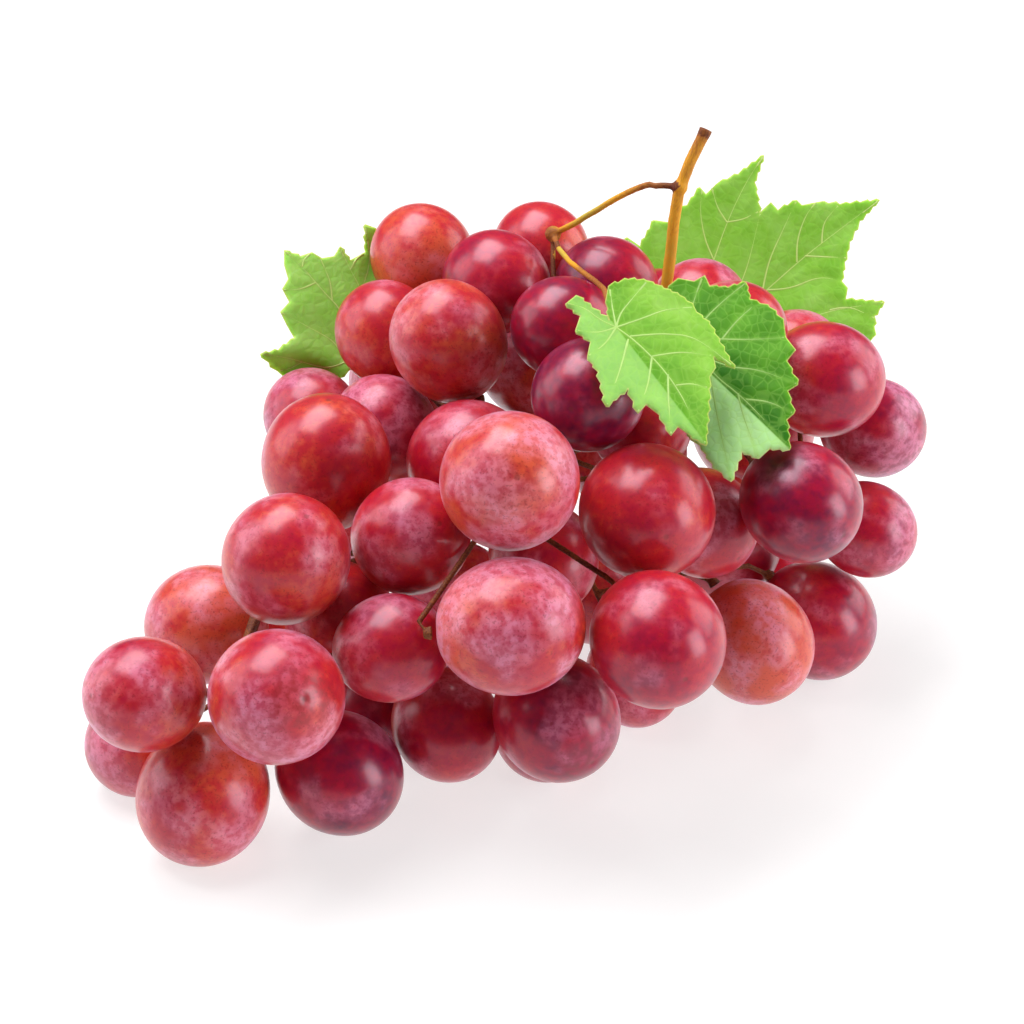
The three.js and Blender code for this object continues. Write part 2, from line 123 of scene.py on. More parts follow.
world = bpy.data.worlds.new("studio")
world.use_nodes = True
world.node_tree.nodes["Background"].inputs["Color"].default_value = linear(WHITE)
world.node_tree.nodes["Background"].inputs["Strength"].default_value = SKY_STRENGTH
bpy.context.scene.world = world
bpy.context.scene.view_settings.view_transform = "Standard"
for name, lamp in LAMPS.items():
    light = bpy.data.lights.new(name, "AREA")
    light.shape = "RECTANGLE"
    light.size, light.size_y = lamp["size"]
    light.energy = lamp["watts"]
    held = new_object(name, light)
    held.location = lamp["at"]
    held.rotation_euler = (LAMPS_AIM - held.location).to_track_quat("-Z", "Y").to_euler()


# The berries: 55 red table grapes. Each is a thin waxy skin over clear wet flesh, a little long
# and narrower at its stalk, with a dry scar at the other end. Each hangs on its own stalk.
BERRY_LENGTH = 1.05
BERRY_WIDTH = 0.98
BERRY_TAPER = 0.04
BERRY_SIDES, BERRY_RINGS = 64, 44
SOLID_SIDES, SOLID_RINGS = 10, 7
RINGS_PULL = -0.3
STALK_HOLLOW = {"end": 1.0, "deep": 0.02, "wide": 0.2}
SCAR_HOLLOW = {"end": -1.0, "deep": 0.012, "wide": 0.07}
UNEVENNESS = 0.02
LUMPS_SCALE = 1.3
PATTERN_STEP = 3.7
MATH, VECTOR = "ShaderNodeMath", "ShaderNodeVectorMath"

grape = bpy.data.node_groups.new("grape", "GeometryNodeTree")
for name, kind in (
    ("Radius", "NodeSocketFloat"),
    ("Middle", "NodeSocketVector"),
    ("Stalk way", "NodeSocketVector"),
    ("Unevenness", "NodeSocketFloat"),
    ("Pattern", "NodeSocketFloat"),
    ("Ripeness", "NodeSocketFloat"),
    ("Bloom", "NodeSocketFloat"),
    ("Russet", "NodeSocketFloat"),
    ("Skin", "NodeSocketMaterial"),
):
    grape.interface.new_socket(name, in_out="INPUT", socket_type=kind)
grape.interface.new_socket("Grape", in_out="OUTPUT", socket_type="NodeSocketGeometry")
given = grape.nodes.new("NodeGroupInput").outputs

ball = {"Segments": BERRY_SIDES, "Rings": BERRY_RINGS, "Radius": 1.0}
ball = add(grape, "GeometryNodeMeshUVSphere", ball)
place = add(grape, "GeometryNodeInputPosition")
split = add(grape, "ShaderNodeSeparateXYZ", {0: place}, out=None).outputs
# The rings are packed towards the two ends, where the stalk hollow and the scar are.
turn = add(grape, MATH, {0: split[2]}, operation="ARCCOSINE")
twice = add(grape, MATH, {0: turn, 1: 2.0}, operation="MULTIPLY")
pull = add(grape, MATH, {0: twice}, operation="SINE")
packed = add(grape, MATH, {0: pull, 1: RINGS_PULL, 2: turn}, operation="MULTIPLY_ADD")
around = add(grape, MATH, {0: split[1], 1: split[0]}, operation="ARCTAN2")
along = add(grape, MATH, {0: packed}, operation="COSINE")
girth = add(grape, MATH, {0: packed}, operation="SINE")
taper = {0: along, 1: -BERRY_TAPER / 2, 2: 1 - BERRY_TAPER / 2}
narrow = add(grape, MATH, taper, operation="MULTIPLY_ADD")
wide = add(grape, MATH, {0: girth, 1: BERRY_WIDTH}, operation="MULTIPLY")
across = add(grape, MATH, {0: wide, 1: narrow}, operation="MULTIPLY")
cosine = add(grape, MATH, {0: around}, operation="COSINE")
sine = add(grape, MATH, {0: around}, operation="SINE")
east = add(grape, MATH, {0: cosine, 1: across}, operation="MULTIPLY")
north = add(grape, MATH, {0: sine, 1: across}, operation="MULTIPLY")
height = add(grape, MATH, {0: along, 1: BERRY_LENGTH}, operation="MULTIPLY")
# A shallow hollow at each end: round the stalk, and at the scar.
for hollow in (STALK_HOLLOW, SCAR_HOLLOW):
    square = add(grape, MATH, {0: girth, 1: girth}, operation="MULTIPLY")
    fall = add(grape, MATH, {0: square, 1: -1 / hollow["wide"] ** 2}, operation="MULTIPLY")
    bell = add(grape, MATH, {0: fall}, operation="EXPONENT")
    here = add(grape, MATH, {0: along, 1: hollow["end"]}, operation="MULTIPLY")
    this_end = add(grape, MATH, {0: here, 1: 0.0}, operation="GREATER_THAN")
    dip = add(grape, MATH, {0: bell, 1: this_end}, operation="MULTIPLY")
    step = {0: dip, 1: -hollow["end"] * hollow["deep"], 2: height}
    height = add(grape, MATH, step, operation="MULTIPLY_ADD")
shape = add(grape, "ShaderNodeCombineXYZ", {0: east, 1: north, 2: height})
# A berry is never quite even. It only shrinks from the full oval, so neighbours stay clear.
wave = {"Vector": shape, "W": given["Pattern"], "Scale": LUMPS_SCALE, "Detail": 1.0}
lumps = add(grape, "ShaderNodeTexNoise", wave, noise_dimensions="4D")
less = add(grape, MATH, {0: lumps, 1: given["Unevenness"]}, operation="MULTIPLY")
keep = add(grape, MATH, {0: 1.0, 1: less}, operation="SUBTRACT")
full = add(grape, MATH, {0: keep, 1: given["Radius"]}, operation="MULTIPLY")
sized = add(grape, VECTOR, {0: shape, "Scale": full}, operation="SCALE")
facing = add(grape, "FunctionNodeAlignRotationToVector", {"Vector": given["Stalk way"]}, axis="Z")
turned = add(grape, "FunctionNodeRotateVector", {"Vector": sized, "Rotation": facing})
moved = add(grape, VECTOR, {0: turned, 1: given["Middle"]}, operation="ADD")
apart = add(grape, "ShaderNodeSeparateXYZ", {0: moved}, out=None).outputs
rested = add(grape, MATH, {0: apart[2], 1: 0.0}, operation="MAXIMUM")
final = add(grape, "ShaderNodeCombineXYZ", {0: apart[0], 1: apart[1], 2: rested})
shaped = ball
for label, value in (
    ("along", along),
    ("ripeness", given["Ripeness"]),
    ("bloom", given["Bloom"]),
    ("russet", given["Russet"]),
):
    store = {"Geometry": shaped, "Name": label, "Value": value}
    shaped = add(grape, "GeometryNodeStoreNamedAttribute", store, data_type="FLOAT")
shaped = add(grape, "GeometryNodeSetPosition", {"Geometry": shaped, "Position": final})
shaped = add(grape, "GeometryNodeSetShadeSmooth", {"Geometry": shaped})
shaped = add(grape, "GeometryNodeRealizeInstances", {"Geometry": shaped})
shaped = add(grape, "GeometryNodeSetMaterial", {"Geometry": shaped, "Material": given["Skin"]})
add(grape, "NodeGroupOutput", {"Grape": shaped}, out=None)

# Grape skin: a smooth orange red to purple skin with a thin grey-pink wax bloom, which hands and
# neighbours have rubbed off in clouds. The wax gives a hazy gloss over the clear one, and the light
# that goes through the flesh warms its shaded side, with a painted warm glow added towards the
# stalk end.
skin, tree, shader = new_material("grape_skin_with_wax_bloom")
spot = add(tree, "ShaderNodeTexCoord", out="Object")
ripeness = add(tree, "ShaderNodeAttribute", out="Fac", attribute_name="ripeness")
bloom = add(tree, "ShaderNodeAttribute", out="Fac", attribute_name="bloom")
russet = add(tree, "ShaderNodeAttribute", out="Fac", attribute_name="russet")
end = add(tree, "ShaderNodeAttribute", out="Fac", attribute_name="along")
CLOUD_SIZE = 11 * MM
PATCH_SIZE = 9 * MM
MOTTLE_SIZE = 1.5 * MM
GRAIN_SIZE = 0.45 * MM
CLOUD_DRIFT, FLECK_DRIFT = 0.8, 0.6
RIPE = ((0.0, "#D05436"), (0.25, "#BE262C"), (0.5, "#AC0C30"), (0.75, "#860834"), (1.0, "#560834"))
COVER_BY_BLOOM, COVER_WITHOUT = 0.35, -0.14
WAX_BY_BLOOM, WAX_WITHOUT = 0.45, 0.16
BROWNED_SHARE = 0.6
BLOOM_PINK = "#E6A2C6"
GLOSS_PINK = "#F0BEE0"
HAZE_LILAC = "#EBC4F0"
STALK_SIDE_PALE_AND_GLOW = 0.3
SPECKLE_BROWN = "#7A1A1C"
RUSSET_BROWN = "#8E3A2A"
SCAR_BROWN = "#5A2A20"
noises = {}
for label, size in (
    ("cloud", CLOUD_SIZE),
    ("patch", PATCH_SIZE),
    ("mottle", MOTTLE_SIZE),
    ("grain", GRAIN_SIZE),
):
    noise = {"Vector": spot, "Scale": 1 / size, "Detail": 2.0}
    noises[label] = add(tree, "ShaderNodeTexNoise", noise)
drift = {0: noises["cloud"], 1: CLOUD_DRIFT, 2: -CLOUD_DRIFT / 2}
drift = add(tree, MATH, drift, operation="MULTIPLY_ADD")
flecks = {0: noises["mottle"], 1: FLECK_DRIFT, 2: -FLECK_DRIFT / 2}
flecks = add(tree, MATH, flecks, operation="MULTIPLY_ADD")
drifted = add(tree, MATH, {0: drift, 1: flecks}, operation="ADD")
# The skin is palest and most orange on the side that grows towards the stalk, in the shade of the
# bunch: partly its own weaker colour there, partly a painted glow of light coming through the
# flesh.
stalkward_pale_and_glow = {"Value": end, "From Min": -0.3, "To Max": -STALK_SIDE_PALE_AND_GLOW}
stalkward_pale_and_glow = add(tree, "ShaderNodeMapRange", stalkward_pale_and_glow)
drifted = add(tree, MATH, {0: drifted, 1: stalkward_pale_and_glow}, operation="ADD")
tone = add(tree, MATH, {0: ripeness, 1: drifted}, operation="ADD", use_clamp=True)
colours = add(tree, "ShaderNodeValToRGB", {0: tone}, out=None)
while len(colours.color_ramp.elements) < len(RIPE):
    colours.color_ramp.elements.new(0.5)
for stop, (at, code) in zip(colours.color_ramp.elements, RIPE):
    stop.position, stop.color = at, linear(code)
# A dustier berry is covered further, and its wax lies a little thicker.
cover = add(tree, MATH, {0: bloom, 1: COVER_BY_BLOOM, 2: noises["patch"]}, operation="MULTIPLY_ADD")
cover = add(tree, MATH, {0: cover, 1: COVER_WITHOUT}, operation="ADD")
thick = add(tree, MATH, {0: bloom, 1: WAX_BY_BLOOM, 2: WAX_WITHOUT}, operation="MULTIPLY_ADD")
worn = add(
    tree,
    "ShaderNodeMapRange",
    {"Value": cover, "From Min": 0.45, "From Max": 0.68, "To Min": 0.0, "To Max": 1.0},
    interpolation_type="SMOOTHSTEP",
)
rough = {"Value": noises["mottle"], "From Min": 0.42, "From Max": 0.62}
rough |= {"To Min": 1.0, "To Max": 0.4}
dust = add(tree, MATH, {0: worn, 1: add(tree, "ShaderNodeMapRange", rough)}, operation="MULTIPLY")
# Round the scar the wax is rubbed off and the skin is browned by wind and twigs.
near_scar = {"Value": end, "From Min": -0.8, "From Max": -0.97}
near_scar = add(tree, "ShaderNodeMapRange", near_scar, interpolation_type="SMOOTHSTEP")
bare = add(tree, MATH, {0: near_scar, 1: russet}, operation="MULTIPLY")
kept = add(tree, MATH, {0: 1.0, 1: bare}, operation="SUBTRACT")
dust = add(tree, MATH, {0: dust, 1: kept}, operation="MULTIPLY")
dusty = add(tree, MATH, {0: dust, 1: thick}, operation="MULTIPLY", use_clamp=True)
waxed = {0: dusty, 6: colours.outputs[0], 7: linear(BLOOM_PINK)}
waxed = add(tree, "ShaderNodeMix", waxed, out=2, data_type="RGBA")
speck = {"Value": noises["grain"], "From Min": 0.56, "From Max": 0.7, "To Max": 0.45}
speckled = {0: add(tree, "ShaderNodeMapRange", speck), 6: waxed, 7: linear(SPECKLE_BROWN)}
speckled = add(tree, "ShaderNodeMix", speckled, out=2, data_type="RGBA")
scuffs = {"Value": noises["mottle"], "From Min": 0.4, "From Max": 0.6}
scuffs = add(tree, "ShaderNodeMapRange", scuffs)
scuffed = add(tree, MATH, {0: bare, 1: scuffs}, operation="MULTIPLY")
scuffed = add(tree, MATH, {0: scuffed, 1: BROWNED_SHARE}, operation="MULTIPLY")
browned = {0: scuffed, 6: speckled, 7: linear(RUSSET_BROWN)}
browned = add(tree, "ShaderNodeMix", browned, out=2, data_type="RGBA")
scar = {"Value": end, "From Min": -0.9985, "From Max": -0.9996, "To Max": 0.4}
scarred = {0: add(tree, "ShaderNodeMapRange", scar), 6: browned, 7: linear(SCAR_BROWN)}
scarred = add(tree, "ShaderNodeMix", scarred, out=2, data_type="RGBA")
tree.links.new(scarred, shader.inputs["Base Color"])
haze = add(tree, "ShaderNodeMapRange", {"Value": dusty, "To Min": 0.34, "To Max": 0.6})
tree.links.new(haze, shader.inputs["Roughness"])
shader.inputs["IOR"].default_value = 1.45
shader.inputs["Subsurface Weight"].default_value = 0.45
shader.inputs["Subsurface Radius"].default_value = (1.0, 0.14, 0.1)
shader.inputs["Subsurface Scale"].default_value = 5 * MM
shader.inputs["Coat Weight"].default_value = 0.5
shader.inputs["Coat Roughness"].default_value = 0.22
shader.inputs["Specular IOR Level"].default_value = 0.5
shader.inputs["Specular Tint"].default_value = linear(GLOSS_PINK)
tree.links.new(dusty, shader.inputs["Sheen Weight"])
shader.inputs["Sheen Roughness"].default_value = 0.35
shader.inputs["Sheen Tint"].default_value = linear(HAZE_LILAC)
relief = {"Height": noises["grain"], "Strength": 0.15, "Distance": 0.04 * MM}
tree.links.new(add(tree, "ShaderNodeBump", relief), shader.inputs["Normal"])


WELD = 0.001 * MM
RING_TOLERANCE = 0.02 * MM


def merged(node):
    """The mesh of a node's solid with its loose triangles joined."""
    mesh = bmesh.new()
    mesh.from_mesh(node.data)
    bmesh.ops.remove_doubles(mesh, verts=mesh.verts, dist=WELD)
    return mesh


wood = merged(nodes["stem"])
near_wood = kdtree.KDTree(len(wood.verts))
for i, vert in enumerate(wood.verts):
    near_wood.insert(vert.co, i)
near_wood.balance()


def oval_of(node):
    """The radius, middle and stalk direction of a berry, from the ring round its stalk end."""
    mesh = merged(node)
    best = None
    for vert in mesh.verts:
        ring = [edge.other_vert(vert).co for edge in vert.link_edges]
        reach = [(at - vert.co).length for at in ring]
        if len(ring) != SOLID_SIDES or max(reach) - min(reach) > RING_TOLERANCE:
            continue
        gap = near_wood.find(vert.co)[2]
        if best is None or gap < best[0]:
            best = (gap, vert.co.copy(), sum(ring, Vector()) / SOLID_SIDES)
    mesh.free()
    gap, end, middle = best
    way = (end - middle).normalized()
    radius = (end - middle).length / (BERRY_LENGTH * (1 - math.cos(math.pi / SOLID_RINGS)))
    return radius, end - way * radius * BERRY_LENGTH, way


# How ripe (0 orange red, 1 dark purple) and how dusty the berries in sight are, and how far the
# wax is rubbed off and the skin browned round the scar of three of them. The rest are drawn.
LOOKS = {
    "berry_flank_6": (0.12, 0.7), "berry_flank_2": (0.3, 0.7), "berry_flank_7": (0.35, 0.15),
    "berry_flank_3": (0.5, 0.3), "berry_flank_4": (0.25, 0.4), "berry_flank_11": (0.72, 0.25),
    "berry_flank_1": (0.45, 0.4), "berry_low_5": (0.05, 0.6), "berry_low_3": (0.62, 0.4),
    "berry_low_6": (0.65, 0.3), "berry_tip_1": (0.24, 0.5), "berry_tip_3": (0.72, 0.3),
    "berry_tip_4": (0.35, 0.5), "berry_tip_5": (0.3, 0.62), "berry_tip_6": (0.25, 0.6),
    "berry_crown_1": (0.25, 0.25), "berry_crown_6": (0.2, 0.4), "berry_crown_7": (0.2, 0.2),
    "berry_crown_8": (0.68, 0.25), "berry_crown_10": (0.75, 0.15), "berry_crown_11": (0.72, 0.15),
    "berry_crown_12": (0.75, 0.12), "berry_shoulder_4": (0.5, 0.35),
    "berry_shoulder_5": (0.65, 0.6),
}
RUBBED = {"berry_flank_2": 0.9, "berry_tip_5": 0.7, "berry_flank_6": 0.3}
RIPE_FROM, RIPE_SPREAD = 0.3, 0.35
BLOOM_FROM, BLOOM_SPREAD = 0.2, 0.35
UNBROWNED = 0.5
draws = np.random.default_rng(7)
for number, name in enumerate(sorted(n for n in nodes if n.startswith("berry_"))):
    radius, middle, way = oval_of(nodes[name])
    ripe, dusted, browned_share = draws.random(3)
    by_chance = (RIPE_FROM + RIPE_SPREAD * ripe, BLOOM_FROM + BLOOM_SPREAD * dusted)
    ripe, dusted = LOOKS.get(name, by_chance)
    values = {
        "Radius": radius,
        "Middle": middle,
        "Stalk way": way,
        "Unevenness": UNEVENNESS,
        "Pattern": number * PATTERN_STEP,
        "Ripeness": ripe,
        "Bloom": dusted,
        "Russet": RUBBED.get(name, max(0.0, browned_share - UNBROWNED)),
        "Skin": skin,
    }
    seed = new_object("seed", bpy.data.meshes.new("seed"))
    grown = seed.modifiers.new("grape", "NODES")
    grown.node_group = grape
    for item in grape.interface.items_tree:
        if item.in_out == "INPUT":
            grown[item.identifier] = values[item.name]
    seed.update_tag()
    evaluated = seed.evaluated_get(bpy.context.evaluated_depsgraph_get())
    mesh = bpy.data.meshes.new_from_object(evaluated)
    bpy.data.objects.remove(seed)
    mesh.name = name.replace("berry", "grape")
    berry = new_object(mesh.name, mesh)
    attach(berry, "root")
    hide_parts(name)


# The stem: one piece of half-woody stalk, with a cut end, a knuckle, an arched side arm and a
# thin stalk to each berry and leaf. Bark ridges run along it, and the thin stalks within the bunch,
# away from the three stretches in sight, are painted dark brown as shade.
RIGHT = np.array((1.0, 0.0, 0.0))
UP = np.array((0.0, math.sin(EYE_TILT), math.cos(EYE_TILT)))
LOOK = np.array((0.0, math.cos(EYE_TILT), -math.sin(EYE_TILT)))
PICTURE_MIDDLE = PICTURE_SIDE / 2
# The three stretches in sight, as picture points from the heap out, and the tone at each point:
# 0 green, 0.3 olive, 0.6 tan, 1 dark brown.
STALKS = {
    "main": ((664, 292), (680, 187), (704, 134)),
    "arm": ((680, 187), (655, 183), (622, 194), (585, 218), (553, 234)),
    "leaf": ((562, 254), (580, 270), (596, 282), (608, 296)),
}
TONES = {
    "main": (0.5, 0.62, 0.76),
    "arm": (1.0, 0.85, 0.65, 0.25, 0.8),
    "leaf": (0.3, 0.78, 0.85, 0.75),
}
CUT_END = {"from": 0.95, "tone": 0.95}
# Stalk within the bunch, away from the stretches in sight, is painted dark brown: painted shade in
# the gaps between the berries.
HIDDEN_SHADE_TONE = 0.95
STALK_REACH = 8.0
BARK_STRETCH = 0.1
WOOD = ((0.0, "#C6C94A"), (0.3, "#BFA23E"), (0.6, "#DA9A2A"), (0.8, "#A0622E"), (1.0, "#58281E"))
RIDGE_SIZE = 0.35 * MM
BLOTCH_SIZE = 4 * MM
BLOTCH_DRIFT, STREAK_DRIFT = 0.25, 0.3
BARK_GRAIN = 0.33 * MM
BARK_SMOOTHING = 4
CORNER_CUTS = 3


def seen(places):
    """The picture points of places in the frame."""
    away = places - np.array(EYE)
    deep = away @ LOOK
    across = PICTURE_MIDDLE + FOCAL_PIXELS * (away @ RIGHT) / deep
    return np.stack([across, PICTURE_MIDDLE - FOCAL_PIXELS * (away @ UP) / deep], axis=1)


def away_from(points, line):
    """How far points are from a line of points, and which segment and share of it is nearest."""
    line = np.asarray(line, float)
    best = np.full(len(points), np.inf)
    where = np.zeros(len(points))
    for i, (a, b) in enumerate(zip(line, line[1:])):
        share = np.clip(((points - a) @ (b - a)) / np.sum((b - a) ** 2), 0, 1)
        gap = np.linalg.norm(points - (a + share[:, None] * (b - a)), axis=1)
        closer = gap < best
        best[closer] = gap[closer]
        where[closer] = i + share[closer]
    return best, where


def rounded(line):
    """A line of points with its corners cut round, between the same two ends."""
    line = np.array(line, float)
    for _ in range(CORNER_CUTS):
        near, far = 0.75 * line[:-1] + 0.25 * line[1:], 0.25 * line[:-1] + 0.75 * line[1:]
        cut = np.stack([near, far], axis=1).reshape(-1, 2)
        line = np.vstack([line[:1], cut[1:-1], line[-1:]])
    return line


# Half-woody vine stalk: a dull ridged bark, tan where it is oldest and green where it is young, and
# dark brown as painted shade where it lies within the bunch.
bark, tree, shader = new_material("vine_stalk_bark")
spot = add(tree, "ShaderNodeTexCoord", out="Object")
grain = add(tree, "ShaderNodeAttribute", out="Vector", attribute_name="grain")
age_and_painted_shade = add(tree, "ShaderNodeAttribute", out="Fac", attribute_name="woody_and_painted_shade")
blotch = add(tree, "ShaderNodeTexNoise", {"Vector": spot, "Scale": 1 / BLOTCH_SIZE, "Detail": 3.0})
ridges = add(tree, "ShaderNodeTexNoise", {"Vector": grain, "Scale": 1 / RIDGE_SIZE, "Detail": 3.0})
old = {0: blotch, 1: BLOTCH_DRIFT, 2: -BLOTCH_DRIFT / 2}
old = add(tree, MATH, old, operation="MULTIPLY_ADD")
streak = {0: ridges, 1: STREAK_DRIFT, 2: -STREAK_DRIFT / 2}
streak = add(tree, MATH, streak, operation="MULTIPLY_ADD")
uneven = add(tree, MATH, {0: old, 1: streak}, operation="ADD")
wood_tone = add(tree, MATH, {0: age_and_painted_shade, 1: uneven}, operation="ADD", use_clamp=True)
colours = add(tree, "ShaderNodeValToRGB", {0: wood_tone}, out=None)
while len(colours.color_ramp.elements) < len(WOOD):
    colours.color_ramp.elements.new(0.5)
for stop, (at, code) in zip(colours.color_ramp.elements, WOOD):
    stop.position, stop.color = at, linear(code)
tree.links.new(colours.outputs[0], shader.inputs["Base Color"])
shader.inputs["Roughness"].default_value = 0.5
shader.inputs["Specular IOR Level"].default_value = 0.15
shader.inputs["Subsurface Weight"].default_value = 0.08
shader.inputs["Subsurface Scale"].default_value = 0.8 * MM
relief = add(tree, "ShaderNodeBump", {"Height": ridges, "Strength": 0.6, "Distance": 0.12 * MM})
tree.links.new(relief, shader.inputs["Normal"])

stem_mesh = bpy.data.meshes.new("stem_rough")
wood.to_mesh(stem_mesh)
wood.free()
rough_stem = new_object("stem_rough", stem_mesh)
fused = rough_stem.modifiers.new("fused", "REMESH")
fused.mode = "VOXEL"
fused.voxel_size = BARK_GRAIN
soft = rough_stem.modifiers.new("soft", "SMOOTH")
soft.iterations = BARK_SMOOTHING
evaluated = rough_stem.evaluated_get(bpy.context.evaluated_depsgraph_get())
mesh = bpy.data.meshes.new_from_object(evaluated)
bpy.data.objects.remove(rough_stem)
mesh.name = "vine_stalk"
mesh.materials.clear()
mesh.materials.append(bark)
mesh.shade_smooth()
places = np.empty(len(mesh.vertices) * 3)
mesh.vertices.foreach_get("co", places)
places = places.reshape(-1, 3)
points = seen(places)
# Every point starts at the dark painted shade tone; the stretches in sight then take their own
# tones.
tones = np.full(len(places), HIDDEN_SHADE_TONE)
grains = places.copy()
nearest = np.full(len(places), STALK_REACH)
for label, line in STALKS.items():
    gap, where = away_from(points, line)
    closer = gap < nearest
    nearest[closer] = gap[closer]
    tones[closer] = np.interp(where[closer], range(len(line)), TONES[label])
    run = np.subtract(line[-1], line[0]) / np.linalg.norm(np.subtract(line[-1], line[0]))
    way = run[0] * RIGHT - run[1] * UP
    grains[closer] -= (1 - BARK_STRETCH) * np.outer(places[closer] @ way, way)
    if label == "main":
        tones[closer & (where > len(line) - 2 + CUT_END["from"])] = CUT_END["tone"]
    if label == "arm":
        arm, along_arm, arm_line = closer, where[closer], np.array(line, float)
# The arm grew in one smooth arch, so its bark is moved from the bent line onto a rounded one.
stations = range(len(arm_line))
straight = np.stack([np.interp(along_arm, stations, arm_line[:, i]) for i in (0, 1)], axis=1)
arch = rounded(arm_line)
along_arch = away_from(straight, arch)[1]
bent = np.stack([np.interp(along_arch, range(len(arch)), arch[:, i]) for i in (0, 1)], axis=1)
moves = (bent - straight) * PIXEL_AT_RANGE
places[arm] += np.outer(moves[:, 0], RIGHT) - np.outer(moves[:, 1], UP)
mesh.vertices.foreach_set("co", places.ravel())
mesh.attributes.new("woody_and_painted_shade", "FLOAT", "POINT").data.foreach_set("value", tones)
mesh.attributes.new("grain", "FLOAT_VECTOR", "POINT").data.foreach_set("vector", grains.ravel())
stem = new_object("vine_stalk", mesh)
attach(stem, "root")
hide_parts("stem")


